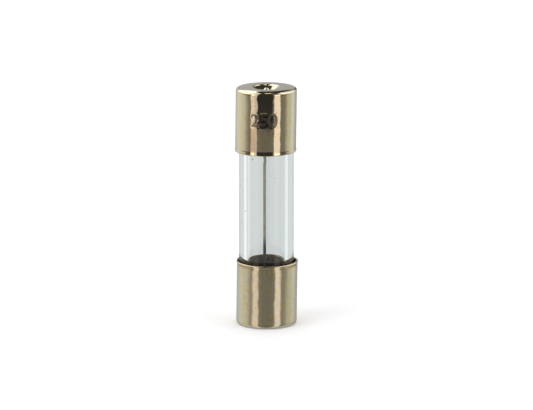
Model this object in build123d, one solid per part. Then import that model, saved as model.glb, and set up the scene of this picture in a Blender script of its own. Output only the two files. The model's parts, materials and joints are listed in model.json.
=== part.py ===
from build123d import *
from math import atan2, radians, tan
import os

# Glass cartridge fuse of the 5 x 20 size: a glass tube with a drawn metal cap on each end,
# and one fuse wire along the middle, soldered into an eyelet in each cap.
# The tube stands on the Z axis. The origin is the middle of the lower end face, +Z runs up
# through the fuse, and lengths are in millimetres.

# Overall sizes
fuse_length = 20.2  # over the two end faces
glass_diameter = 4.6
bore_diameter = 3.1
bore_edge_rounding = 0.12  # the tube's ends are melted smooth

# End caps, drawn from sheet
cap_length = 5.4
cap_wall = 0.15
cap_clearance = 0.10  # all round the tube, when the cap is centred on it
narrow_side_gap = 0.03  # what is left of it on the side that the cap is pushed to
shoulder_radius = 0.40
corner_clearance = 0.02  # the tube's edge is this much rounder than the cap's inner corner
lip_flare = 0.04
lip_flare_length = 0.30
lip_bend_radius = 0.60

# Dimple and eyelet in the middle of each end face
dimple_diameter = 2.2
dimple_floor_diameter = 0.9
dimple_depth = 0.45
dimple_edge_radius = 0.20
dimple_floor_radius = 0.10
eyelet_diameter = 0.50

# Fuse wire
wire_diameter = 0.22
wire_run_x = -0.135  # the straight run stands a little to one side of the tube's axis
wire_cover = 0.10  # solder over each end of the wire
wire_run_margin = 0.60  # the straight run starts this far inside each cap's lip
bend_share = 0.45  # of the shorter neighbouring run, taken up by each of the wire's bends

# Solder in each eyelet
solder_recess = 0.08  # from the end face down to the top of the solder's dome
solder_dome_diameter = 0.74
solder_dome_crown = 0.16  # radius that rounds off the top of the dome
solder_tip_diameter = 0.30  # flat top of the dome before it is rounded off
bead_diameter = 1.30  # where the solder has run out inside the cap
bead_waist_diameter = 0.56  # a third of the way along the bead, where its slope sags
bead_height = 0.75
bead_film = 0.05  # solder left round the wire at the bead's thin end

# Cement between each cap and the tube
cement_recess = 0.50  # below the start of the lip's flare

# What follows from them
glass_radius = glass_diameter / 2
bore_radius = bore_diameter / 2
cap_inner_radius = glass_radius + cap_clearance
cap_radius = cap_inner_radius + cap_wall
cap_offset = cap_clearance - narrow_side_gap
inner_corner_radius = shoulder_radius - cap_wall
flare_start = cap_length - lip_flare_length
dimple_radius = dimple_diameter / 2
floor_radius = dimple_floor_diameter / 2
dimple_slope = atan2(dimple_depth, dimple_radius - floor_radius)
fold_shift = cap_wall * tan(dimple_slope / 2)
floor_inside = dimple_depth + cap_wall
eyelet_radius = eyelet_diameter / 2
wire_radius = wire_diameter / 2
wire_end = solder_recess + wire_cover

# The caps, and what is fixed in them, are drawn with the closed end down. The lower ones stay
# so and the upper ones are turned over, each pushed sideways within the caps' clearance.
lower_place = Pos(cap_offset, 0, 0)
upper_place = Pos(-cap_offset, 0, fuse_length) * Rot(0, 180, 0)


def spun(*corners):
    """Solid of revolution about Z, from its outline's (radius, height, bend) corners."""
    points = [(radius, 0, height) for radius, height, bend in corners]
    bends = [bend for radius, height, bend in corners]
    outline = FilletPolyline(*points, radius=bends, close=True)
    return revolve(make_face(outline), Axis.Z)


def glass_tube():
    """Plain tube between the caps' floors, with its ends melted round."""
    rim = inner_corner_radius + corner_clearance
    bottom = cap_wall
    top = fuse_length - cap_wall
    return spun(
        (bore_radius, bottom, bore_edge_rounding),
        (glass_radius, bottom, rim),
        (glass_radius, top, rim),
        (bore_radius, top, bore_edge_rounding),
    )


def end_cap():
    """Drawn cup with a rounded shoulder, a flared lip, and a dimple round its eyelet."""
    return spun(
        (eyelet_radius, dimple_depth, 0),
        (floor_radius, dimple_depth, dimple_floor_radius + cap_wall),
        (dimple_radius, 0, dimple_edge_radius),
        (cap_radius, 0, shoulder_radius),
        (cap_radius, flare_start, lip_bend_radius),
        (cap_radius + lip_flare, cap_length, 0),
        (cap_inner_radius + lip_flare, cap_length, 0),
        (cap_inner_radius, flare_start, lip_bend_radius + cap_wall),
        (cap_inner_radius, cap_wall, inner_corner_radius),
        (dimple_radius + fold_shift, cap_wall, dimple_edge_radius + cap_wall),
        (floor_radius + fold_shift, floor_inside, dimple_floor_radius),
        (eyelet_radius, floor_inside, 0),
    )


def bend_radius(before, corner, after):
    """Largest gentle radius for a bend of the wire between two of its runs."""
    arriving = Vector(corner) - Vector(before)
    leaving = Vector(after) - Vector(corner)
    shorter = min(arriving.length, leaving.length)
    return bend_share * shorter / tan(radians(arriving.get_angle(leaving)) / 2)


def fuse_wire():
    """Round wire from eyelet to eyelet, straight where the glass shows it."""
    run_end = cap_length - wire_run_margin
    points = [
        (cap_offset, 0, wire_end),
        (wire_run_x, 0, run_end),
        (wire_run_x, 0, fuse_length - run_end),
        (-cap_offset, 0, fuse_length - wire_end),
    ]
    bends = [bend_radius(*points[i : i + 3]) for i in range(len(points) - 2)]
    path = FilletPolyline(*points, radius=bends)
    section = Plane(origin=path @ 0, z_dir=path % 0) * Circle(wire_radius)
    return sweep(section, path)


def solder_plug():
    """Solder that fills the eyelet: a dome in the dimple, and a bead that climbs the wire."""
    dome_radius = solder_dome_diameter / 2
    bead_top = floor_inside + bead_height
    return spun(
        (0, solder_recess, 0),
        (solder_tip_diameter / 2, solder_recess, solder_dome_crown),
        (dome_radius, dimple_depth, 0),
        (eyelet_radius, dimple_depth, 0),
        (eyelet_radius, floor_inside, 0),
        (bead_diameter / 2, floor_inside, 0),
        (bead_waist_diameter / 2, floor_inside + bead_height / 3, bead_height / 3),
        (wire_radius + bead_film, bead_top, 0),
        (0, bead_top, 0),
    )


def cement_ring():
    """Cement in the clearance round the tube, from the corner of the cap to near its lip."""
    depth = flare_start - cement_recess - shoulder_radius
    ring = Cylinder(cap_inner_radius, depth, align=(Align.CENTER, Align.CENTER, Align.MIN))
    return Pos(0, 0, shoulder_radius) * ring


tube = glass_tube()
cap = end_cap()
wire = fuse_wire()
solder = solder_plug()
cement = cement_ring()

pieces = {
    "glass_tube": tube,
    "fuse_wire": wire,
    "lower_end_cap": lower_place * cap,
    "upper_end_cap": upper_place * cap,
    "lower_solder_plug": lower_place * solder - wire,
    "upper_solder_plug": upper_place * solder - wire,
    "lower_cement_ring": lower_place * cement - Cylinder(glass_radius, 2 * fuse_length),
    "upper_cement_ring": upper_place * cement - Cylinder(glass_radius, 2 * fuse_length),
}

os.makedirs("parts", exist_ok=True)
for name, piece in pieces.items():
    export_step(piece, f"parts/{name}.step")
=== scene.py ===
import json
import math

import bmesh
import bpy
from bpy.props import FloatProperty, FloatVectorProperty, IntProperty, PointerProperty
from bpy.props import StringProperty
from bpy.types import Operator, Panel, PropertyGroup
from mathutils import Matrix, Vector


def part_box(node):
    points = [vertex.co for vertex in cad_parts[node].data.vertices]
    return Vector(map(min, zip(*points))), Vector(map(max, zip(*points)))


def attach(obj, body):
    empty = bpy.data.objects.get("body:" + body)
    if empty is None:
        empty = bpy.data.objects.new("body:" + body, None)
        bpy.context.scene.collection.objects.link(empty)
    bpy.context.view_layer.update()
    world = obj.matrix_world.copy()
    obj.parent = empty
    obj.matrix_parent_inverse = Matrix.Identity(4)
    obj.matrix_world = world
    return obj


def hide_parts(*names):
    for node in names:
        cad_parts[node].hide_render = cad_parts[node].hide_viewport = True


bl_info = {
    "name": "Glass cartridge fuse",
    "version": (1, 0, 0),
    "blender": (4, 5, 0),
    "location": "3D View > Sidebar > Fuse",
    "description": "Finishes a miniature glass fuse around its construction model",
    "category": "Object",
}

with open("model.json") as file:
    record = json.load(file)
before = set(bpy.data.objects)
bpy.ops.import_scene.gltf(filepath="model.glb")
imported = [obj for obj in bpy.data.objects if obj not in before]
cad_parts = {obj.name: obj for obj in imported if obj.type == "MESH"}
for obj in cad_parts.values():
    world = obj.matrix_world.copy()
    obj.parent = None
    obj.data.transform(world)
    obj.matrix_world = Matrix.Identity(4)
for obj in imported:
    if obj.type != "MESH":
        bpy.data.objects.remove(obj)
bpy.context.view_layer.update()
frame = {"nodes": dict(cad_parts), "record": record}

MM = 0.001
BODY = "root"


def mount(name):
    """One of the record's mounts, by its name."""
    return next(m for m in frame["record"]["mounts"] if m["name"] == name)


# What the construction model says about the fuse, in metres.
tube_low, tube_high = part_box("glass_tube")
lower_low, lower_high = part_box("lower_end_cap")
upper_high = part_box("upper_end_cap")[1]
cement_low, cement_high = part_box("lower_cement_ring")
plug_low, plug_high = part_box("lower_solder_plug")
wire_low, wire_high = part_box("fuse_wire")

FUSE_LENGTH = upper_high.z - lower_low.z
GLASS_RADIUS = (tube_high.x - tube_low.x) / 2
CAP_RADIUS = mount("lower_contact")["dims"]["r_mm"] * MM
CAP_LENGTH = lower_high.z - lower_low.z
CAP_OFFSET = (lower_high.x + lower_low.x) / 2
CAP_INNER_RADIUS = (cement_high.x - cement_low.x) / 2
LIP_RADIUS = (lower_high.x - lower_low.x) / 2
BEAD_RADIUS = (plug_high.x - plug_low.x) / 2
BEAD_END = plug_high.z
SOLDER_RECESS = plug_low.z
WIRE_RADIUS = (wire_high.y - wire_low.y) / 2


# ---------------------------------------------------------------- node trees


class Value:
    """A node's output that adds Math nodes when it is used in an expression."""

    def __init__(self, graph, socket):
        self.graph = graph
        self.socket = socket

    def __add__(self, other):
        return self.graph.math("ADD", self, other)

    def __radd__(self, other):
        return self.graph.math("ADD", other, self)

    def __sub__(self, other):
        return self.graph.math("SUBTRACT", self, other)

    def __rsub__(self, other):
        return self.graph.math("SUBTRACT", other, self)

    def __mul__(self, other):
        return self.graph.math("MULTIPLY", self, other)

    def __rmul__(self, other):
        return self.graph.math("MULTIPLY", other, self)

    def __truediv__(self, other):
        return self.graph.math("DIVIDE", self, other)

    def __rtruediv__(self, other):
        return self.graph.math("DIVIDE", other, self)


class Graph:
    """Adds nodes to a node tree and wires them."""

    def __init__(self, tree):
        self.tree = tree

    def add(self, kind, settings=None, inputs=None, output=0):
        """A new node of a type: its settings first, then its sockets' values or links."""
        node = self.tree.nodes.new(kind)
        for name, setting in (settings or {}).items():
            if name == "stops":
                self.set_stops(node.color_ramp, setting)
            else:
                setattr(node, name, setting)
        for name, value in (inputs or {}).items():
            self.connect(self.find(node.inputs, name), value)
        return Value(self, self.find(node.outputs, output))

    def find(self, sockets, name):
        """A node's socket by its index, or the shown one that has a name."""
        if isinstance(name, int):
            return sockets[name]
        return next(s for s in sockets if s.name == name and s.enabled)

    def connect(self, socket, value):
        """Links an output to a socket, or sets the socket's own value."""
        if isinstance(value, Value):
            self.tree.links.new(value.socket, socket)
        else:
            socket.default_value = value

    def set_stops(self, ramp, stops):
        """Sets a colour ramp's stops from (position, colour) pairs."""
        while len(ramp.elements) < len(stops):
            ramp.elements.new(1.0)
        for element, (position, colour) in zip(ramp.elements, stops):
            element.position = position
            element.color = (*colour, 1.0)

    def math(self, operation, *values):
        """A Math node on two or three numbers."""
        inputs = dict(enumerate(values))
        return self.add("ShaderNodeMath", {"operation": operation}, inputs)

    def vector_math(self, operation, *values):
        """A Vector Math node on vectors."""
        inputs = dict(enumerate(values))
        return self.add("ShaderNodeVectorMath", {"operation": operation}, inputs)

    def whole(self, operation, *values):
        """An Integer Math node."""
        inputs = dict(enumerate(values))
        return self.add("FunctionNodeIntegerMath", {"operation": operation}, inputs)

    def ramp(self, value, start, end, low=0.0, high=1.0, kind="SMOOTHSTEP"):
        """A number that goes from low to high while value goes from start to end."""
        inputs = {"Value": value, "From Min": start, "From Max": end, "To Min": low, "To Max": high}
        return self.add("ShaderNodeMapRange", {"interpolation_type": kind}, inputs)

    def noise(self, where, scale, detail=2.0, roughness=0.5):
        """Smooth noise, 0 to 1, at a place."""
        inputs = {"Vector": where, "Scale": scale, "Detail": detail, "Roughness": roughness}
        return self.add("ShaderNodeTexNoise", None, inputs)

    def mix(self, factor, first, second, blend="MIX"):
        """A colour between two colours."""
        settings = {"data_type": "RGBA", "blend_type": blend}
        inputs = {"Factor": factor, "A": first, "B": second}
        return self.add("ShaderNodeMix", settings, inputs, "Result")

    def apart(self, vector):
        """The X, Y and Z of a vector."""
        node = self.add("ShaderNodeSeparateXYZ", None, {"Vector": vector}).socket.node
        return [Value(self, socket) for socket in node.outputs]

    def together(self, x, y, z):
        """A vector from its X, Y and Z."""
        return self.add("ShaderNodeCombineXYZ", None, {"X": x, "Y": y, "Z": z})

    def scaled(self, vector, factor):
        """A vector made longer or shorter by a number."""
        inputs = {0: vector, "Scale": factor}
        return self.add("ShaderNodeVectorMath", {"operation": "SCALE"}, inputs)

    def here(self):
        """Every point's own place."""
        return self.add("GeometryNodeInputPosition")

    def stored(self, name):
        """A number that the points carry under a name."""
        return self.add("GeometryNodeInputNamedAttribute", None, {"Name": name}, "Attribute")

    def moved(self, geometry, offset):
        """Geometry with its points moved by an offset."""
        inputs = {"Geometry": geometry, "Offset": offset}
        return self.add("GeometryNodeSetPosition", None, inputs)

    def bump(self, strength, distance, height, more=None):
        """A normal that follows a relief."""
        inputs = {"Strength": strength, "Distance": distance, "Height": height, **(more or {})}
        return self.add("ShaderNodeBump", None, inputs)


def rgb(colour):
    """A colour with its alpha."""
    return (*colour, 1.0)


# ------------------------------------------------------------ settings


class FuseCapSettings(PropertyGroup):
    wall: FloatProperty(
        name="Wall", description="Thickness of the drawn sheet", unit="LENGTH",
        default=CAP_RADIUS - CAP_INNER_RADIUS, min=0.0)
    shoulder: FloatProperty(
        name="Shoulder radius", description="Rounding between the wall and the end face",
        unit="LENGTH", default=0.22 * MM, min=0.0)
    crown: FloatProperty(
        name="Crown", description="How far the end face falls away towards its rim",
        unit="LENGTH", default=0.08 * MM, min=0.0)
    lip_height: FloatProperty(
        name="Lip flare", description="Length of the wall that flares out at the lip",
        unit="LENGTH", default=0.30 * MM, min=0.0)
    dimple_radius: FloatProperty(
        name="Dimple radius", description="Radius of the dimple at the end face",
        unit="LENGTH", default=1.10 * MM, min=0.0)
    dimple_floor: FloatProperty(
        name="Dimple floor", description="Radius of the dimple's floor",
        unit="LENGTH", default=0.52 * MM, min=0.0)
    dimple_depth: FloatProperty(
        name="Dimple depth", description="Depth of the dimple below the end face",
        unit="LENGTH", default=0.45 * MM, min=0.0)
    lean: FloatProperty(
        name="Lean", description="How far the closed end stands back over the tube's axis",
        unit="LENGTH", default=0.07 * MM)
    dent: FloatProperty(
        name="Dents", description="How far the drawn wall wanders in and out",
        unit="LENGTH", default=0.006 * MM, min=0.0)
    number: StringProperty(
        name="Number", description="Plain number stamped in the upper cap", default="250")
    number_size: FloatProperty(
        name="Number size", description="Height of a line of the stamped number",
        unit="LENGTH", default=1.55 * MM, min=0.0)
    number_depth: FloatProperty(
        name="Number depth", description="Depth of the stamped number",
        unit="LENGTH", default=0.012 * MM, min=0.0)
    number_height: FloatProperty(
        name="Number height", description="From the end face to the middle of the number",
        unit="LENGTH", default=2.45 * MM, min=0.0)
    number_angle: FloatProperty(
        name="Number angle", description="Where the number stands round the cap",
        subtype="ANGLE", default=math.radians(-4))
    upper_colour: FloatVectorProperty(
        name="Upper cap", description="Reflectance of the bright nickel plating",
        subtype="COLOR", size=3, min=0.0, max=1.0, default=(0.74, 0.67, 0.51))
    lower_colour: FloatVectorProperty(
        name="Lower cap", description="Reflectance of the dulled nickel plating",
        subtype="COLOR", size=3, min=0.0, max=1.0, default=(0.70, 0.64, 0.50))
    upper_roughness: FloatProperty(
        name="Upper roughness", description="Roughness of the bright plating",
        default=0.025, min=0.0, max=1.0)
    lower_roughness: FloatProperty(
        name="Lower roughness", description="Roughness of the dulled plating",
        default=0.13, min=0.0, max=1.0)
    segments: IntProperty(
        name="Segments", description="Faces round the cap", default=384, min=12)


class FuseGlassSettings(PropertyGroup):
    bore_radius: FloatProperty(
        name="Bore radius", description="Radius of the tube's bore",
        unit="LENGTH", default=1.55 * MM, min=0.0)
    ior: FloatProperty(
        name="IOR", description="Refractive index of the glass", default=1.5, min=1.0)
    tint: FloatVectorProperty(
        name="Tint", description="Colour of the light that the glass lets through",
        subtype="COLOR", size=3, min=0.0, max=1.0, default=(0.975, 0.99, 0.985))
    segments: IntProperty(
        name="Segments", description="Faces round the tube", default=320, min=12)


class FuseWireSettings(PropertyGroup):
    tinning: FloatProperty(
        name="Tinning", description="Thickness of the tin on the wire",
        unit="LENGTH", default=0.015 * MM, min=0.0)
    run_x: FloatProperty(
        name="Run offset", description="Where the straight run stands, from the tube's axis",
        unit="LENGTH", default=-0.152 * MM)
    colour: FloatVectorProperty(
        name="Wire colour", description="Reflectance of the tinned wire",
        subtype="COLOR", size=3, min=0.0, max=1.0, default=(0.45, 0.44, 0.37))
    solder_colour: FloatVectorProperty(
        name="Solder colour", description="Reflectance of the solder",
        subtype="COLOR", size=3, min=0.0, max=1.0, default=(0.76, 0.75, 0.70))


class FuseStageSettings(PropertyGroup):
    camera_height: FloatProperty(
        name="Camera elevation", description="How far the camera looks down", subtype="ANGLE",
        default=math.radians(13.1))
    camera_distance: FloatProperty(
        name="Camera distance", description="From the camera to the middle of the fuse",
        unit="LENGTH", default=322 * MM)
    lens: FloatProperty(
        name="Lens", description="Focal length on a sensor 36 mm wide", default=259.9)
    floor_colour: FloatVectorProperty(
        name="Floor", description="Colour of the floor and the backdrop",
        subtype="COLOR", size=3, min=0.0, max=1.0, default=(0.97, 0.97, 0.97))


# ------------------------------------------------------------ mesh helpers


def outline_object(name, corners, closed):
    """An outline as a mesh of (radius, height, bend, step) corners in the XZ plane.

    bend is the corner's rounding, and step is the longest edge in the run that starts there.
    """
    mesh = bpy.data.meshes.new(name)
    places = [(radius, 0, height) for radius, height, bend, step in corners]
    last = len(corners) if closed else len(corners) - 1
    edges = [(i, (i + 1) % len(corners)) for i in range(last)]
    mesh.from_pydata(places, edges, [])
    for index, key in ((2, "bend"), (3, "step")):
        values = mesh.attributes.new(key, "FLOAT", "POINT")
        values.data.foreach_set("value", [corner[index] for corner in corners])
    piece = bpy.data.objects.new(name, mesh)
    bpy.context.scene.collection.objects.link(piece)
    return piece


def new_tree(name, sizes):
    """A geometry node tree with a geometry in and out and named inputs for its sizes."""
    tree = bpy.data.node_groups.new(name, "GeometryNodeTree")
    tree.interface.new_socket("Geometry", in_out="INPUT", socket_type="NodeSocketGeometry")
    for label, kind in sizes:
        tree.interface.new_socket(label, in_out="INPUT", socket_type=f"NodeSocket{kind}")
    tree.interface.new_socket("Geometry", in_out="OUTPUT", socket_type="NodeSocketGeometry")
    graph = Graph(tree)
    source = tree.nodes.new("NodeGroupInput")
    graph.given = {s.name: Value(graph, s) for s in source.outputs if s.name}
    return graph


def close_tree(graph, geometry):
    """Ends a tree in Realize Instances and Set Material."""
    real = graph.add("GeometryNodeRealizeInstances", None, {"Geometry": geometry})
    smooth = graph.add("GeometryNodeSetShadeSmooth", None, {"Geometry": real})
    inputs = {"Geometry": smooth, "Material": graph.given["Material"]}
    done = graph.add("GeometryNodeSetMaterial", None, inputs)
    end = graph.tree.nodes.new("NodeGroupOutput")
    graph.connect(end.inputs[0], done)
    return graph.tree


def grow(piece, tree, sizes):
    """Runs a geometry node tree on an object and keeps the result as its plain mesh."""
    modifier = piece.modifiers.new("Shape", "NODES")
    modifier.node_group = tree
    sockets = {s.name: s.identifier for s in tree.interface.items_tree if s.in_out == "INPUT"}
    for label, value in sizes.items():
        modifier[sockets[label]] = value
    graph = bpy.context.evaluated_depsgraph_get()
    result = bpy.data.meshes.new_from_object(piece.evaluated_get(graph))
    piece.modifiers.remove(modifier)
    old = piece.data
    piece.data = result
    bpy.data.meshes.remove(old)
    result.name = piece.name
    face_outwards(result)
    return piece


def face_outwards(mesh):
    """Points every face of a closed mesh outwards."""
    shape = bmesh.new()
    shape.from_mesh(mesh)
    loose = [edge for edge in shape.edges if not edge.link_faces]
    bmesh.ops.delete(shape, geom=loose, context="EDGES")
    bmesh.ops.recalc_face_normals(shape, faces=shape.faces)
    shape.to_mesh(mesh)
    shape.free()
    if not len(mesh.polygons):
        raise RuntimeError(f"{mesh.name} came out empty")


def finish_piece(piece, nodes):
    """Puts a finished piece on its body, in place of the CAD nodes that it stands for."""
    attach(piece, BODY)
    if nodes:
        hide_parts(*nodes)


# ------------------------------------------------------------ shape rules


def rounded_outline(graph, bend_steps):
    """The outline as a curve, its corners rounded and its runs divided."""
    bend = graph.stored("bend")
    step = graph.stored("step")
    outline = graph.add("GeometryNodeMeshToCurve", None, {"Mesh": graph.given["Geometry"]})
    inputs = {"Curve": outline, "Count": bend_steps, "Radius": bend, "Limit Radius": True}
    outline = graph.add("GeometryNodeFilletCurve", {"mode": "POLY"}, inputs)
    here = graph.here()
    index = graph.add("GeometryNodeInputIndex")
    inputs = {"Point Index": index, "Offset": 1}
    after = graph.add("GeometryNodeOffsetPointInCurve", None, inputs, "Point Index")
    inputs = {"Value": here, "Index": after}
    there = graph.add("GeometryNodeFieldAtIndex", {"data_type": "FLOAT_VECTOR"}, inputs)
    settings = {"operation": "DISTANCE"}
    run = graph.add("ShaderNodeVectorMath", settings, {0: here, 1: there}, "Value")
    cuts = graph.math("FLOOR", run / step)
    return graph.add("GeometryNodeSubdivideCurve", None, {"Curve": outline, "Cuts": cuts})


def turned(graph, outline, segments, closed, crowding):
    """The outline turned once round the Z axis, closed where it meets itself.

    crowding draws the faces towards the front, where 0 spreads them evenly.
    """
    settings = {"component": "CURVE"}
    count = graph.add("GeometryNodeAttributeDomainSize", settings, {"Geometry": outline})
    rows = count + closed
    columns = segments + 1
    inputs = {"Size X": 1.0, "Size Y": 1.0, "Vertices X": rows, "Vertices Y": columns}
    grid = graph.add("GeometryNodeMeshGrid", None, inputs)
    index = graph.add("GeometryNodeInputIndex")
    row = graph.whole("DIVIDE_FLOOR", index, columns)
    column = graph.whole("MODULO", index, columns)
    along = graph.whole("MODULO", row, count)
    here = graph.here()
    settings = {"data_type": "FLOAT_VECTOR"}
    inputs = {"Geometry": outline, "Value": here, "Index": along}
    place = graph.add("GeometryNodeSampleIndex", settings, inputs)
    radius, _, height = graph.apart(place)
    even = (column / segments - 0.5) * math.tau
    angle = even - crowding * graph.math("SINE", even)
    x = radius * graph.math("SINE", angle)
    y = 0 - radius * graph.math("COSINE", angle)
    position = graph.together(x, y, height)
    inputs = {"Geometry": grid, "Position": position}
    solid = graph.add("GeometryNodeSetPosition", None, inputs)
    inputs = {"Geometry": solid, "Distance": 0.0004 * MM}
    return graph.add("GeometryNodeMergeByDistance", None, inputs)


def turned_tree():
    """Tree for a plain turned piece."""
    sizes = [("Segments", "Int"), ("Bend Steps", "Int"), ("Closing Row", "Int"),
             ("Crowding", "Float"), ("Material", "Material")]
    graph = new_tree("Turned piece", sizes)
    outline = rounded_outline(graph, graph.given["Bend Steps"])
    solid = turned(graph, outline, graph.given["Segments"], graph.given["Closing Row"],
                   graph.given["Crowding"])
    return close_tree(graph, solid)


def cap_tree():
    """Tree for an end cap: turned, leaned over its tube, and dented as drawn sheet is."""
    sizes = [("Segments", "Int"), ("Bend Steps", "Int"), ("Closed End", "Float"),
             ("Lip", "Float"), ("Lip Offset", "Float"), ("Closed Offset", "Float"),
             ("Dent", "Float"), ("Wander", "Float"), ("Seed", "Float"), ("Crowding", "Float"),
             ("Number", "String"), ("Number Size", "Float"), ("Number Depth", "Float"),
             ("Number Height", "Float"), ("Number Angle", "Float"), ("Material", "Material")]
    graph = new_tree("End cap", sizes)
    given = graph.given
    outline = rounded_outline(graph, given["Bend Steps"])
    solid = turned(graph, outline, given["Segments"], 1, given["Crowding"])
    here = graph.here()
    x, y, z = graph.apart(here)
    share = (z - given["Closed End"]) / (given["Lip"] - given["Closed End"])
    shift = given["Closed Offset"] + (given["Lip Offset"] - given["Closed Offset"]) * share
    seed = graph.together(given["Seed"], 0.0, 0.0)
    place = graph.vector_math("ADD", here, seed)
    around = graph.vector_math("MULTIPLY", here, (1.0, 1.0, 0.03))
    around = graph.vector_math("ADD", around, seed)
    swell = (graph.noise(around, 420.0, 1.0) - 0.5) * given["Dent"]
    ripple = (graph.noise(around, 1500.0, 1.0) - 0.5) * given["Dent"] * 0.5
    wall = graph.math("SQRT", x * x + y * y)
    on_wall = graph.ramp(wall, 1.6 * MM, 2.3 * MM)
    grow_by = (swell + ripple) * on_wall / wall
    at_lip = graph.ramp(share, 0.9, 1.0)
    lift = (graph.noise(place, 700.0, 1.0) - 0.5) * given["Wander"] * at_lip
    outside = graph.ramp(wall, CAP_RADIUS - 0.05 * MM, CAP_RADIUS - 0.02 * MM)
    stamp = stamped(graph, x, y, z) * outside
    inputs = {"Geometry": solid, "Name": "stamp", "Value": stamp}
    solid = graph.add("GeometryNodeStoreNamedAttribute", None, inputs)
    across = grow_by - stamp * given["Number Depth"] / wall
    offset = graph.together(shift + x * across, y * across, lift)
    return close_tree(graph, graph.moved(solid, offset))


def stamped(graph, x, y, z):
    """1 at the bottom of the stamped number's strokes, and 0 away from them."""
    given = graph.given
    settings = {"align_x": "CENTER", "align_y": "MIDDLE"}
    inputs = {"String": given["Number"], "Size": given["Number Size"]}
    text = graph.add("GeometryNodeStringToCurves", settings, inputs, "Curve Instances")
    text = graph.add("GeometryNodeRealizeInstances", None, {"Geometry": text})
    text = graph.add("GeometryNodeFillCurve", None, {"Curve": text})
    around = graph.math("ARCTAN2", x, 0 - y) - given["Number Angle"]
    place = graph.together(around * CAP_RADIUS, z - given["Number Height"], 0.0)
    inputs = {"Geometry": text, "Sample Position": place}
    settings = {"target_element": "FACES"}
    away = graph.add("GeometryNodeProximity", settings, inputs, "Distance")
    return graph.ramp(away, 0.06 * MM, 0.0) * graph.math("SIGN", given["Number Depth"])


# ------------------------------------------------------------ materials


def new_material(name):
    """An empty node material, its graph and its shader's sockets."""
    material = bpy.data.materials.new(name)
    material.use_nodes = True
    tree = material.node_tree
    tree.nodes.clear()
    graph = Graph(tree)
    shader = tree.nodes.new("ShaderNodeBsdfPrincipled")
    output = tree.nodes.new("ShaderNodeOutputMaterial")
    tree.links.new(shader.outputs[0], output.inputs["Surface"])
    return material, graph, shader


def set_sockets(graph, shader, sockets):
    """Sets or links several of a shader's sockets by their names."""
    for name, value in sockets.items():
        graph.connect(shader.inputs[name], value)


def object_place(graph):
    """Object coordinates in millimetres."""
    place = graph.add("ShaderNodeTexCoord", None, None, "Object")
    return graph.vector_math("MULTIPLY", place, (1000.0, 1000.0, 1000.0))


def plated_material(name, colour, roughness, tarnish, seed, dark_reflection_height=None):
    """Nickel plating over brass: mottled, with fine draw lines, pits and warm tarnish, painted
    shade inside and, where asked, a painted dark reflection round the number.
    """
    material, graph, shader = new_material(name)
    here = object_place(graph)
    place = graph.vector_math("ADD", here, (seed, 0.0, 0.0))
    stretched = graph.vector_math("MULTIPLY", place, (14.0, 14.0, 0.5))
    cloud = graph.noise(place, 1.3, 3.0, 0.6)
    mottle = graph.noise(place, 4.2, 4.0, 0.7)
    grain = graph.noise(place, 20.0, 2.0, 0.6)
    lines = graph.noise(stretched, 1.0, 2.0, 0.5)
    brass = (colour[0] * 0.95, colour[1] * 0.86, colour[2] * 0.66)
    grey = (colour[0] * 0.90, colour[1] * 0.94, colour[2] * 1.05)
    dull = [0.84 * c for c in colour]
    warm = graph.ramp(mottle * 0.7 + cloud * 0.3, 0.48, 0.66) * tarnish
    tone = graph.mix(warm, rgb(colour), rgb(brass))
    tone = graph.mix(graph.ramp(cloud, 0.60, 0.38) * tarnish * 0.7, tone, rgb(grey))
    tone = graph.mix(graph.ramp(grain, 0.42, 0.30) * tarnish, tone, rgb(dull))
    tone = graph.mix(graph.ramp(lines, 0.56, 0.68) * tarnish * 0.6, tone, rgb(dull))
    speck = graph.ramp(graph.noise(place, 7.5, 1.0), 0.71, 0.77) * tarnish
    tone = graph.mix(speck * 0.75, tone, rgb((0.24, 0.18, 0.10)))
    stamp = graph.add("ShaderNodeAttribute", {"attribute_name": "stamp"}, None, "Fac")
    tone = graph.mix(stamp * 0.8, tone, rgb((0.10, 0.09, 0.075)))
    x, y, z = graph.apart(here)
    dark_reflection = 0.0
    # Painted dark reflection: a near-black patch on the front of the cap round the number.
    if dark_reflection_height is not None:
        dark_reflection = dark_reflection_mask(graph, place, x, y, z - dark_reflection_height)
        tone = graph.mix(dark_reflection * 0.85, tone, rgb((0.13, 0.12, 0.108)))
    across = graph.math("SQRT", x * x + y * y)
    middle = graph.math("ABSOLUTE", z - FUSE_LENGTH / MM / 2)
    lip = (FUSE_LENGTH / 2 - CAP_LENGTH) / MM
    at_lip = graph.ramp(middle, lip + 0.07, lip + 0.03)
    tone = graph.mix(at_lip * 0.5, tone, rgb((0.55, 0.44, 0.26)))
    # Painted shade: the inner wall is painted near-black brown, the shade of the cap's closed
    # interior.
    inside = graph.ramp(across, 2.50, 2.44) * graph.ramp(middle, 9.6, 9.4)
    tone = graph.mix(inside * 0.93, tone, rgb((0.10, 0.046, 0.014)))
    rough = roughness * (0.75 + mottle * 0.5) + (speck + stamp) * 0.2 + inside * 0.4 + dark_reflection * 0.08
    relief = grain * 0.35 + lines * 0.4 + mottle * 0.5
    waves = {"Normal": draw_waves(graph, here, seed)}
    set_sockets(graph, shader, {
        "Base Color": tone,
        "Metallic": 1.0,
        "Roughness": rough,
        "Normal": graph.bump(0.3 * roughness, 0.02 * MM, relief, waves),
    })
    return material


def dark_reflection_mask(graph, place, x, y, up):
    """Where a dark reflection is painted round the stamped number on the cap's front, with ragged
    edges.
    """
    wide = graph.math("ABSOLUTE", x) + (graph.noise(place, 2.6, 3.0, 0.7) - 0.5) * 1.5
    tall = graph.math("ABSOLUTE", up) + (graph.noise(place, 3.4, 3.0, 0.7) - 0.5) * 1.6
    return graph.ramp(wide, 0.90, 0.78) * graph.ramp(tall, 0.70, 0.55) * graph.ramp(y, 0.0, -1.0)


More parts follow.
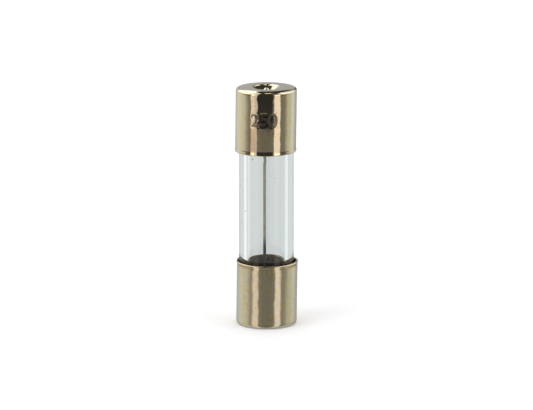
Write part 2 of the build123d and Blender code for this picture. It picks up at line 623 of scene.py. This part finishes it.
def draw_waves(graph, here, seed):
    """The surface's normal, turned slightly to either side as a drawn wall wavers."""
    normal = graph.add("ShaderNodeNewGeometry", None, None, "Normal")
    sideways = graph.vector_math("CROSS_PRODUCT", (0.0, 0.0, 1.0), normal)
    place = graph.vector_math("ADD", here, (0.0, seed, 0.0))
    wave = (graph.noise(place, 1.1, 3.0, 0.6) - 0.5) * 0.11
    turn = graph.scaled(sideways, wave)
    return graph.vector_math("NORMALIZE", graph.vector_math("ADD", normal, turn))


def solder_material(name, colour):
    """Tin solder: bright where it has flowed, with a faint frosted grain."""
    material, graph, shader = new_material(name)
    place = object_place(graph)
    frost = graph.noise(place, 9.0, 3.0, 0.6)
    tone = graph.mix(graph.ramp(frost, 0.45, 0.7), rgb(colour), rgb([0.72 * c for c in colour]))
    set_sockets(graph, shader, {
        "Base Color": tone,
        "Metallic": 1.0,
        "Roughness": 0.10 + graph.ramp(frost, 0.4, 0.75) * 0.16,
        "Normal": graph.bump(0.06, 0.03 * MM, frost),
    })
    return material


def wire_material(name, colour):
    """Drawn and tinned wire, dull, with die lines along it, darker oxide in patches and painted
    shade at its lower end.
    """
    material, graph, shader = new_material(name)
    place = object_place(graph)
    stretched = graph.vector_math("MULTIPLY", place, (30.0, 30.0, 1.2))
    lines = graph.noise(stretched, 1.0, 2.0)
    patches = graph.noise(place, 2.2, 3.0, 0.6)
    dark = [0.55 * c for c in colour]
    warm = (colour[0] * 1.02, colour[1] * 0.93, colour[2] * 0.80)
    tone = graph.mix(graph.ramp(patches, 0.45, 0.7), rgb(colour), rgb(warm))
    tone = graph.mix(graph.ramp(lines, 0.55, 0.8) * 0.6, tone, rgb(dark))
    height = graph.apart(place)[2]
    # Painted shade: the wire turns near black below about 7 mm, where it runs down into the lower
    # cap's shade.
    lower_wire_shade = graph.ramp(height, 7.7, 6.3) * 0.92
    tone = graph.mix(lower_wire_shade, tone, rgb((0.045, 0.034, 0.024)))
    set_sockets(graph, shader, {
        "Base Color": tone,
        "Metallic": 0.85,
        "Roughness": 0.38 + patches * 0.2 + lower_wire_shade * 0.3,
        "Normal": graph.bump(0.25, 0.01 * MM, lines),
    })
    return material


def glass_material(name, tint, ior):
    """Clear drawn glass, with faint draw lines and a film of dust."""
    material, graph, shader = new_material(name)
    place = object_place(graph)
    stretched = graph.vector_math("MULTIPLY", place, (4.0, 4.0, 0.12))
    lines = graph.noise(stretched, 1.0, 2.0)
    dust = graph.noise(place, 3.0, 4.0, 0.65)
    film = graph.ramp(dust, 0.5, 0.85)
    tone = graph.mix(film * 0.5, rgb(tint), rgb([0.94 * c for c in tint]))
    set_sockets(graph, shader, {
        "Base Color": tone,
        "Roughness": 0.0,
        "IOR": ior,
        "Transmission Weight": 1.0,
        "Normal": graph.bump(0.03, 0.02 * MM, lines),
    })
    return material


def dust_material(name):
    """Brownish dust."""
    material, graph, shader = new_material(name)
    grit = graph.noise(object_place(graph), 30.0, 2.0)
    tone = graph.mix(graph.ramp(grit, 0.3, 0.7), rgb((0.16, 0.12, 0.08)), rgb((0.30, 0.25, 0.18)))
    normal = graph.bump(0.4, 0.01 * MM, grit)
    set_sockets(graph, shader, {"Base Color": tone, "Roughness": 0.85, "Normal": normal})
    return material


def cement_material(name):
    """Matt cap cement, gritty and brownish."""
    material, graph, shader = new_material(name)
    grit = graph.noise(object_place(graph), 14.0, 4.0, 0.7)
    tone = graph.mix(graph.ramp(grit, 0.35, 0.7), rgb((0.036, 0.014, 0.004)),
                     rgb((0.10, 0.046, 0.014)))
    set_sockets(graph, shader, {
        "Base Color": tone,
        "Roughness": 0.9,
        "Specular IOR Level": 0.1,
        "Normal": graph.bump(0.6, 0.03 * MM, grit),
    })
    return material


# ------------------------------------------------------------ pieces


def from_end(end, sign, corners):
    """Corners whose heights are measured inwards from an end face, at their real heights."""
    return [(radius, end + sign * height, bend, step) for radius, height, bend, step in corners]


def cap_corners(size, wall_step):
    """Outline of an end cap, with heights from its end face."""
    slope = math.atan2(size.dimple_depth, size.dimple_radius - size.dimple_floor)
    fold = size.wall * math.tan(slope / 2)
    inner = CAP_RADIUS - size.wall
    flare = CAP_LENGTH - size.lip_height
    inside = size.dimple_depth + size.wall
    eyelet = 0.25 * MM
    edge = 0.035 * MM
    face_edge = 1.85 * MM
    fine = 0.09 * MM
    coarse = 0.30 * MM
    return [
        (eyelet, size.dimple_depth, edge, fine),
        (size.dimple_floor, size.dimple_depth, 0.25 * MM, fine),
        (size.dimple_radius, 0.0, 0.36 * MM, fine),
        (face_edge, 0.0, 4.8 * MM, fine),
        (CAP_RADIUS, size.crown, size.shoulder, wall_step),
        (CAP_RADIUS, flare, 1.2 * MM, fine),
        (LIP_RADIUS, CAP_LENGTH, 0.07 * MM, fine),
        (LIP_RADIUS - size.wall, CAP_LENGTH, 0.05 * MM, fine),
        (inner, flare, 0.75 * MM, coarse),
        (inner, size.wall + size.crown, 0.10 * MM, coarse),
        (face_edge, size.wall, 0.50 * MM, coarse),
        (size.dimple_radius + fold, size.wall, 0.35 * MM, coarse),
        (size.dimple_floor + fold, inside, 0.10 * MM, fine),
        (eyelet, inside, edge, fine),
    ]


class FUSE_OT_end_caps(Operator):
    """Make both drawn and plated end caps"""

    bl_idname = "fuse.end_caps"
    bl_label = "End Caps"

    def execute(self, context):
        size = context.scene.fuse_caps
        tree = cap_tree()
        caps = [
            ("upper_end_cap", FUSE_LENGTH, -1, "polished_cap_metal", 3.7, 0.06 * MM, size.number,
             plated_material("Bright nickel", size.upper_colour, size.upper_roughness, 0.9, 3.0,
                             (FUSE_LENGTH - size.number_height) / MM + 0.1)),
            ("lower_end_cap", 0.0, 1, "satin_cap_metal", 9.2, 0.12 * MM, "",
             plated_material("Dulled nickel", size.lower_colour, size.lower_roughness, 1.0, 8.0)),
        ]
        for node, end, sign, slot, seed, step, number, material in caps:
            corners = from_end(end, sign, cap_corners(size, step))
            piece = outline_object(node + "_shell", corners, closed=True)
            grow(piece, tree, {
                "Segments": size.segments,
                "Bend Steps": 8,
                "Closed End": end,
                "Lip": end + sign * CAP_LENGTH,
                "Lip Offset": sign * CAP_OFFSET,
                "Closed Offset": sign * (CAP_OFFSET - size.lean),
                "Dent": size.dent,
                "Wander": 0.02 * MM,
                "Seed": seed,
                "Crowding": 0.45,
                "Number": number,
                "Number Size": size.number_size,
                "Number Depth": size.number_depth if number else 0.0,
                "Number Height": end + sign * size.number_height,
                "Number Angle": size.number_angle,
                "Material": material,
            })
            finish_piece(piece, [node])
        return {"FINISHED"}


class FUSE_OT_glass_tube(Operator):
    """Make the clear glass tube"""

    bl_idname = "fuse.glass_tube"
    bl_label = "Glass Tube"

    def execute(self, context):
        size = context.scene.fuse_glass
        long_step = 0.5 * MM
        fine = 0.08 * MM
        corners = [
            (size.bore_radius, tube_low.z, 0.12 * MM, fine),
            (GLASS_RADIUS, tube_low.z, 0.27 * MM, long_step),
            (GLASS_RADIUS, tube_high.z, 0.27 * MM, fine),
            (size.bore_radius, tube_high.z, 0.12 * MM, long_step),
        ]
        piece = outline_object("glass_tube_clear", corners, closed=True)
        material = glass_material("Clear glass", size.tint, size.ior)
        grow(piece, turned_tree(), {
            "Segments": size.segments,
            "Bend Steps": 8,
            "Closing Row": 1,
            "Crowding": 0.0,
            "Material": material,
        })
        finish_piece(piece, ["glass_tube"])
        return {"FINISHED"}


class FUSE_OT_fuse_wire(Operator):
    """Make the wire that runs from eyelet to eyelet"""

    bl_idname = "fuse.fuse_wire"
    bl_label = "Fuse Wire"

    def execute(self, context):
        size = context.scene.fuse_wire
        run = size.run_x
        kink = 0.05 * MM
        kink_height = 13.95 * MM
        behind_lip = CAP_LENGTH - 0.6 * MM
        places = [
            (0.0, wire_low.z),
            (run, behind_lip),
            (run, kink_height - 0.25 * MM),
            (run + kink, kink_height),
            (run, kink_height + 0.35 * MM),
            (run, FUSE_LENGTH - behind_lip),
            (0.0, wire_high.z),
        ]
        corners = [(x, z, 0.8 * MM, 0.05 * MM) for x, z in places]
        piece = outline_object("fuse_wire_tinned", corners, closed=False)
        grow(piece, wire_tree(), {
            "Radius": WIRE_RADIUS + size.tinning,
            "Segments": 24,
            "Unevenness": 0.06,
            "Material": wire_material("Tinned wire", size.colour),
        })
        finish_piece(piece, ["fuse_wire"])
        return {"FINISHED"}


def wire_tree():
    """Tree for the wire: a round section along its route, slightly uneven."""
    sizes = [("Radius", "Float"), ("Segments", "Int"), ("Unevenness", "Float"),
             ("Material", "Material")]
    graph = new_tree("Fuse wire", sizes)
    given = graph.given
    route = rounded_outline(graph, 8)
    circle = graph.add("GeometryNodeCurvePrimitiveCircle", None,
                       {"Resolution": given["Segments"], "Radius": given["Radius"]})
    inputs = {"Curve": route, "Profile Curve": circle, "Fill Caps": True}
    wire = graph.add("GeometryNodeCurveToMesh", None, inputs)
    here = graph.here()
    normal = graph.add("GeometryNodeInputNormal")
    bumps = (graph.noise(here, 2600.0, 2.0) - 0.5) * given["Unevenness"] * given["Radius"]
    return close_tree(graph, graph.moved(wire, graph.scaled(normal, bumps)))


class FUSE_OT_solder_plugs(Operator):
    """Make the solder that fills both eyelets and climbs the wire"""

    bl_idname = "fuse.solder_plugs"
    bl_label = "Solder Plugs"

    def execute(self, context):
        size = context.scene.fuse_caps
        material = solder_material("Tin solder", context.scene.fuse_wire.solder_colour)
        tree = turned_tree()
        depth = size.dimple_depth
        floor = depth + size.wall
        fine = 0.05 * MM
        profile = [
            (0.0, SOLDER_RECESS, 0.0, fine),
            (0.15 * MM, SOLDER_RECESS, 0.15 * MM, fine),
            (0.37 * MM, depth, 0.02 * MM, fine),
            (0.25 * MM, depth, 0.02 * MM, fine),
            (0.25 * MM, floor, 0.02 * MM, fine),
            (BEAD_RADIUS, floor, 0.03 * MM, fine),
            (0.28 * MM, floor + 0.25 * MM, 0.25 * MM, fine),
            (WIRE_RADIUS + 0.05 * MM, BEAD_END, 0.02 * MM, fine),
            (0.0, BEAD_END, 0.0, fine),
        ]
        for node, end, sign in (("upper", FUSE_LENGTH, -1), ("lower", 0.0, 1)):
            corners = from_end(end, sign, profile)
            piece = outline_object(f"{node}_solder_joint", corners, closed=False)
            grow(piece, tree, {
                "Segments": 96,
                "Bend Steps": 8,
                "Closing Row": 0,
                "Crowding": 0.0,
                "Material": material,
            })
            finish_piece(piece, [f"{node}_solder_plug"])
        return {"FINISHED"}


# Specks on the tube: degrees round it, height in mm and size in mm.
DUST = [
    (-30, 14.45, 0.060), (-11, 13.35, 0.032), (18, 12.91, 0.040), (-49, 12.57, 0.030),
    (-49, 9.94, 0.042), (-67, 11.96, 0.030), (-67, 8.94, 0.032), (-12, 7.27, 0.030),
    (34, 7.90, 0.026), (95, 10.4, 0.035), (130, 7.1, 0.040), (168, 12.2, 0.045),
    (205, 9.1, 0.035), (240, 13.1, 0.038), (282, 8.2, 0.030),
]
SPATTER = [
    (11, 6.35, 0.036), (0, 6.10, 0.030), (8, 5.62, 0.040), (-24, 5.80, 0.026),
    (150, 6.2, 0.035), (200, 5.9, 0.030), (305, 6.0, 0.028),
]


def specks_tree():
    """Tree for specks: a lumpy grain on every point, each of its own size and turn."""
    sizes = [("Seed", "Int"), ("Lumpiness", "Float"), ("Material", "Material")]
    graph = new_tree("Specks", sizes)
    given = graph.given
    size = graph.stored("step")
    grain = graph.add("GeometryNodeMeshIcoSphere", None, {"Radius": 1.0, "Subdivisions": 2})
    settings = {"data_type": "FLOAT_VECTOR"}
    inputs = {"Min": (0.0, 0.0, 0.0), "Max": (6.28, 6.28, 6.28), "Seed": given["Seed"]}
    turn = graph.add("FunctionNodeRandomValue", settings, inputs, "Value")
    inputs = {"Min": (0.6, 0.6, 0.6), "Max": (1.0, 1.0, 1.5), "Seed": given["Seed"]}
    squash = graph.add("FunctionNodeRandomValue", settings, inputs, "Value")
    inputs = {"Points": given["Geometry"], "Instance": grain, "Rotation": turn,
              "Scale": graph.scaled(squash, size)}
    grains = graph.add("GeometryNodeInstanceOnPoints", None, inputs)
    grains = graph.add("GeometryNodeRealizeInstances", None, {"Geometry": grains})
    here = graph.here()
    normal = graph.add("GeometryNodeInputNormal")
    lump = (graph.noise(here, 22000.0, 1.0) - 0.5) * given["Lumpiness"]
    return close_tree(graph, graph.moved(grains, graph.scaled(normal, lump)))


class FUSE_OT_specks(Operator):
    """Scatter the dust on the tube and the solder spatter inside it"""

    bl_idname = "fuse.specks"
    bl_label = "Specks"

    def execute(self, context):
        size = context.scene.fuse_glass
        solder = solder_material("Spattered solder", context.scene.fuse_wire.solder_colour)
        groups = [
            ("dust", DUST, GLASS_RADIUS, "glass", dust_material("Dust")),
            ("spatter", SPATTER, size.bore_radius - 0.02 * MM, "solder", solder),
        ]
        tree = specks_tree()
        for name, places, radius, slot, material in groups:
            corners = []
            for degrees, height, grain in places:
                angle = math.radians(degrees)
                corners.append((radius * math.sin(angle), height * MM, 0.0, grain * MM))
            piece = outline_object(name, corners, closed=False)
            for point, (degrees, height, grain) in zip(piece.data.vertices, places):
                point.co.y = -radius * math.cos(math.radians(degrees))
            grow(piece, tree, {"Seed": 4, "Lumpiness": 0.02 * MM, "Material": material})
            finish_piece(piece, [])
        return {"FINISHED"}


class FUSE_OT_cement_rings(Operator):
    """Give the cement between the caps and the tube its finish"""

    bl_idname = "fuse.cement_rings"
    bl_label = "Cement Rings"

    def execute(self, context):
        material = cement_material("Cap cement")
        for node in ("upper_cement_ring", "lower_cement_ring"):
            mesh = frame["nodes"][node].data
            mesh.materials.clear()
            mesh.materials.append(material)
        return {"FINISHED"}


class FUSE_OT_stage(Operator):
    """Make the floor, the studio light and the camera"""

    bl_idname = "fuse.stage"
    bl_label = "Stage"

    def execute(self, context):
        size = context.scene.fuse_stage
        make_floor(size)
        make_world()
        make_lamps()
        make_camera(size)
        context.scene.view_settings.view_transform = "Standard"
        return {"FINISHED"}


def make_floor(size):
    """A wide pale floor that keeps the fuse's shadow."""
    mesh = bpy.data.meshes.new("floor")
    half = 3.0
    corners = [(-half, -half, 0), (half, -half, 0), (half, half, 0), (-half, half, 0)]
    mesh.from_pydata(corners, [], [(0, 1, 2, 3)])
    floor = bpy.data.objects.new("floor", mesh)
    bpy.context.scene.collection.objects.link(floor)
    material, graph, shader = new_material("Pale floor")
    paper = graph.noise(object_place(graph), 0.05, 3.0)
    tone = graph.mix(graph.ramp(paper, 0.3, 0.7), rgb(size.floor_colour),
                     rgb([0.985 * c for c in size.floor_colour]))
    set_sockets(graph, shader, {"Base Color": tone, "Roughness": 0.9, "Specular IOR Level": 0.0})
    mesh.materials.append(material)
    floor.visible_glossy = False
    floor.visible_transmission = False


def make_world():
    """White for the camera; a studio of soft panels for what shines; pale for the rest."""
    world = bpy.data.worlds.new("Studio")
    bpy.context.scene.world = world
    world.use_nodes = True
    tree = world.node_tree
    tree.nodes.clear()
    graph = Graph(tree)
    direction = graph.add("ShaderNodeTexCoord", None, None, "Generated")
    x, y, z = graph.apart(direction)
    azimuth = graph.math("ARCTAN2", x, 0 - y) * (180 / math.pi)
    height = graph.math("ARCSINE", z) * (180 / math.pi)
    studio = studio_light(graph, azimuth, height, direction)
    clear = background_light(graph, azimuth)
    path = tree.nodes.new("ShaderNodeLightPath")
    is_glossy = Value(graph, path.outputs["Is Glossy Ray"])
    is_camera = Value(graph, path.outputs["Is Camera Ray"])
    is_clear = Value(graph, path.outputs["Is Transmission Ray"])
    tone = graph.mix(is_glossy, rgb((0.80, 0.80, 0.81)), studio)
    tone = graph.mix(is_clear, tone, clear)
    tone = graph.mix(is_camera, tone, rgb((1.0, 1.0, 1.0)))
    background = graph.add("ShaderNodeBackground", None, {"Color": tone, "Strength": 1.0})
    output = tree.nodes.new("ShaderNodeOutputWorld")
    graph.connect(output.inputs["Surface"], background)


def between(graph, value, low, high, soft):
    """1 while a value is between two others and 0 outside, with soft edges."""
    rise = graph.ramp(value, low - soft, low + soft)
    fall = graph.ramp(value, high + soft, high - soft)
    return rise * fall


# The colours of the studio that shining metal sees.
CAMERA_SIDE = (0.036, 0.034, 0.035)
CEILING = (0.05, 0.046, 0.042)
CORNER = (0.07, 0.06, 0.05)
FRONT_WALL = (0.25, 0.23, 0.19)
FRONT_TABLE = (0.34, 0.32, 0.26)
BACK_WALL = (0.47, 0.48, 0.48)
COOL_WALL = (0.62, 0.66, 0.72)
RIGHT_WALL = (0.66, 0.66, 0.54)
LEFT_WALL = (0.76, 0.73, 0.60)
SCREEN = (0.82, 0.85, 0.78)
SOFT_BOX = (1.9, 1.85, 1.7)


def room_light(graph, azimuth, front, left_corner, right_corner, screen):
    """The room: dim in front, cream walls, a screen beyond them, then cool left and grey behind."""
    wide = graph.math("ABSOLUTE", azimuth)
    tone = graph.mix(graph.ramp(wide, 60.0, 0.0) * 0.28, rgb(front), rgb(CAMERA_SIDE))
    left_blur = 17.0
    right_blur = 13.0
    left = graph.ramp(azimuth, left_blur - left_corner, 0 - left_blur - left_corner)
    right = graph.ramp(azimuth, right_corner - right_blur, right_corner + right_blur)
    tone = graph.mix(left, tone, rgb(LEFT_WALL))
    tone = graph.mix(right, tone, rgb(RIGHT_WALL))
    tone = graph.mix(graph.ramp(wide, 98.0, 115.0) * screen, tone, rgb(SCREEN))
    tone = graph.mix(graph.ramp(azimuth, 117.0, 146.0), tone, rgb(BACK_WALL))
    tone = graph.mix(graph.ramp(azimuth, -127.0, -148.0), tone, rgb(COOL_WALL))
    return graph.mix(graph.ramp(azimuth, -150.0, -180.0), tone, rgb(BACK_WALL))


def studio_light(graph, azimuth, height, direction):
    """What shining metal sees: pale walls, two strip lights, soft boxes and a dark camera side."""
    half = graph.math("SINE", azimuth * (math.pi / 360))
    level = height + 1.49 * half
    azimuth = azimuth * graph.ramp(level, -13.6, -15.1, 0.98, 1.05, "LINEAR")
    wide = graph.math("ABSOLUTE", azimuth)
    studio = low_light(graph, azimuth, wide, height, level)
    studio = strip_lights(graph, studio, azimuth, height, level)
    studio = upper_light(graph, studio, azimuth, wide, height, direction)
    x, y, _ = graph.apart(direction)
    shade = between(graph, azimuth, 152.0, 171.5, 2.5) * between(graph, height, -4.0, 21.0, 3.0)
    studio = graph.mix(shade * 0.8, studio, rgb((0.08, 0.06, 0.045)))
    lamp = between(graph, x, -0.02, 0.09, 0.015) * between(graph, height, 50.0, 74.0, 3.0)
    return graph.mix(lamp * graph.ramp(y, -0.02, 0.02), studio, rgb((1.9, 1.65, 1.1)))


def low_light(graph, azimuth, wide, height, level):
    """The table, the walls, the dark camera side and the dark gap at the table's far edge."""
    table = room_light(graph, azimuth, FRONT_TABLE, 74.0, 79.0, 0.5)
    wall = room_light(graph, azimuth, FRONT_WALL, 79.0, 82.0, 1.0)
    studio = graph.mix(graph.ramp(level, -13.2, -12.8), table, wall)
    lifted = graph.ramp(height, -4.0, 2.0) * graph.ramp(wide, 150.0, 130.0)
    studio = graph.mix(lifted, studio, graph.mix(1.0, studio, rgb((1.25, 1.25, 1.2)), "MULTIPLY"))
    low = between(graph, height, -24.5, -17.5, 1.0)
    studio = graph.mix(low, studio, graph.mix(1.0, studio, rgb((0.68, 0.61, 0.50)), "MULTIPLY"))

    edge = -11.89 - graph.ramp(graph.math("ABSOLUTE", azimuth - 9.0), 12.0, 0.0) * 0.10
    dark = graph.ramp(level - edge, -0.04, 0.04) * between(graph, azimuth, -33.0, 26.0, 2.5)
    studio = graph.mix(dark, studio, rgb(CAMERA_SIDE))

    # The gap is wider beside the strip lights.
    gap = between(graph, height, -9.5, -5.0, 1.0) * graph.ramp(wide, 105.0, 88.0)
    tall = between(graph, height, -9.5, 14.0, 1.0) * graph.ramp(wide, 88.0, 72.0)
    gap = graph.math("MAXIMUM", gap, tall) * graph.ramp(wide, 30.0, 34.0)
    return graph.mix(gap * 0.75, studio, rgb(CORNER))


def strip_lights(graph, studio, azimuth, height, level):
    """Two upright strip lights, brighter towards the top."""
    dim = between(graph, level, -12.6, -12.0, 0.12)
    left = graph.mix(dim, rgb((1.0, 0.875, 0.77)), rgb((0.72, 0.585, 0.475)))
    left = graph.mix(graph.ramp(height, -8.0, 0.0), left, rgb((1.6, 1.5, 1.25)))
    beside = between(graph, azimuth, -43.0, -30.0, 1.5) * graph.ramp(level, -12.4, -12.0)
    left = graph.mix(beside * 0.8, left, rgb((0.75, 0.63, 0.53)))
    mask = between(graph, azimuth, -57.5, -33.8, 1.8) * graph.ramp(height, 60.0, 50.0)
    studio = graph.mix(mask, studio, left)
    right = graph.mix(graph.ramp(level, -13.2, -11.8), rgb((1.0, 0.915, 0.82)),
                      rgb((1.17, 1.03, 0.94)))
    right = graph.mix(graph.ramp(height, -8.0, 0.0), right, rgb((1.7, 1.55, 1.4)))
    mask = between(graph, azimuth, 31.0, 54.3, 2.2) * graph.ramp(height, 30.0, 20.0)
    return graph.mix(mask, studio, right)


def upper_light(graph, studio, azimuth, wide, height, direction):
    """A dark ceiling, two soft boxes behind the fuse and a panel high on each side."""
    x, y, z = graph.apart(direction)
    studio = graph.mix(graph.ramp(height, 52.0, 62.0), studio, rgb(CEILING))
    rise = 19.0 + graph.ramp(azimuth, -172.0, -158.0) * 9.0
    rise = rise - graph.ramp(azimuth, -150.0, -141.0) * 11.0
    rise = rise + graph.ramp(azimuth, 170.0, 180.0) * 2.0
    above = graph.ramp(height - rise, -2.5, 2.5)
    studio = graph.mix(graph.ramp(wide, 90.0, 110.0) * above, studio, rgb(CEILING))
    box = graph.ramp(x - 0.04 * y + 0.163 * z, 0.008, -0.008) * graph.ramp(azimuth, -118.0, -128.0)
    box = box * above * graph.ramp(height, 84.0, 78.0)
    studio = graph.mix(box, studio, rgb(SOFT_BOX))
    side = graph.ramp(height, 30.0, 46.0, 156.0, 147.0, "LINEAR")
    floor = graph.ramp(azimuth, 160.0, 172.0, 19.0, 46.0, "LINEAR")
    box = graph.ramp(x + 0.146 * y - 0.375 * z, -0.01, 0.01) * graph.ramp(azimuth - side, -4.0, 4.0)
    box = box * graph.ramp(height - floor, -2.0, 2.0) * graph.ramp(height, 78.0, 74.0)
    studio = graph.mix(box, studio, rgb(SOFT_BOX))
    limit = 164.0 - height * 0.83
    panel = graph.ramp(wide, 62.0, 68.0) * graph.ramp(wide - limit, 4.0, -2.0)
    panel = panel * graph.ramp(height, 15.0, 21.0) * graph.ramp(height, 66.0, 62.0)
    return graph.mix(panel, studio, rgb((1.7, 1.65, 1.5)))


def background_light(graph, azimuth):
    """What clear glass sees: a pale ground, brighter far out on both sides."""
    left = between(graph, azimuth, -150.0, -124.0, 6.0)
    right = between(graph, azimuth, 117.0, 139.0, 5.0)
    tone = graph.mix(left, rgb((0.664, 0.69, 0.686)), rgb((0.95, 0.97, 0.95)))
    return graph.mix(right, tone, rgb((0.87, 0.94, 0.94)))


def add_lamp(name, place, aim, width, height, power):
    """A soft panel lamp that points at a place."""
    data = bpy.data.lights.new(name, "AREA")
    data.shape = "RECTANGLE"
    data.size = width
    data.size_y = height
    data.energy = power
    lamp = bpy.data.objects.new(name, data)
    bpy.context.scene.collection.objects.link(lamp)
    lamp.location = place
    lamp.rotation_euler = (Vector(aim) - Vector(place)).to_track_quat("-Z", "Y").to_euler()
    lamp.visible_glossy = False
    return lamp


def make_lamps():
    """Soft studio light from above and both sides."""
    middle = (0.0, 0.0, 0.01)
    add_lamp("key", (-0.35, -0.25, 0.5), middle, 0.35, 0.35, 0.95)
    add_lamp("fill", (0.45, -0.2, 0.35), middle, 0.3, 0.3, 0.4)
    add_lamp("top", (0.0, 0.1, 0.6), middle, 0.5, 0.5, 0.7)


def make_camera(size):
    """The camera, looking slightly down on the fuse from its front."""
    data = bpy.data.cameras.new("camera")
    data.lens = size.lens
    data.sensor_width = 36.0
    data.clip_start = 0.01
    data.clip_end = 20.0
    camera = bpy.data.objects.new("camera", data)
    bpy.context.scene.collection.objects.link(camera)
    aim = Vector((0.007 * MM, 0.0, 10.12 * MM))
    angle = size.camera_height
    back = Vector((0.0, -math.cos(angle), math.sin(angle)))
    camera.location = aim + back * size.camera_distance
    camera.rotation_mode = "QUATERNION"
    camera.rotation_quaternion = (-back).to_track_quat("-Z", "Y")
    bpy.context.scene.camera = camera


# ------------------------------------------------------------ add-on


class FUSE_PT_sidebar(Panel):
    """Lists the fuse's pieces and their sizes"""

    bl_idname = "FUSE_PT_sidebar"
    bl_label = "Glass Cartridge Fuse"
    bl_space_type = "VIEW_3D"
    bl_region_type = "UI"
    bl_category = "Fuse"

    def draw(self, context):
        for operator in OPERATORS:
            self.layout.operator(operator.bl_idname)
        for key, kind in SETTINGS.items():
            box = self.layout.box()
            for name in kind.__annotations__:
                box.prop(getattr(context.scene, key), name)


SETTINGS = {
    "fuse_caps": FuseCapSettings,
    "fuse_glass": FuseGlassSettings,
    "fuse_wire": FuseWireSettings,
    "fuse_stage": FuseStageSettings,
}
OPERATORS = [
    FUSE_OT_end_caps,
    FUSE_OT_glass_tube,
    FUSE_OT_fuse_wire,
    FUSE_OT_solder_plugs,
    FUSE_OT_cement_rings,
    FUSE_OT_specks,
    FUSE_OT_stage,
]


def register():
    for kind in [*SETTINGS.values(), *OPERATORS, FUSE_PT_sidebar]:
        bpy.utils.register_class(kind)
    for key, kind in SETTINGS.items():
        setattr(bpy.types.Scene, key, PointerProperty(type=kind))


def unregister():
    for key in SETTINGS:
        delattr(bpy.types.Scene, key)
    for kind in [FUSE_PT_sidebar, *reversed(OPERATORS), *reversed(SETTINGS.values())]:
        bpy.utils.unregister_class(kind)


def main():
    register()
    for operator in OPERATORS:
        group, name = operator.bl_idname.split(".")
        getattr(getattr(bpy.ops, group), name)()


if __name__ == "__main__":
    main()
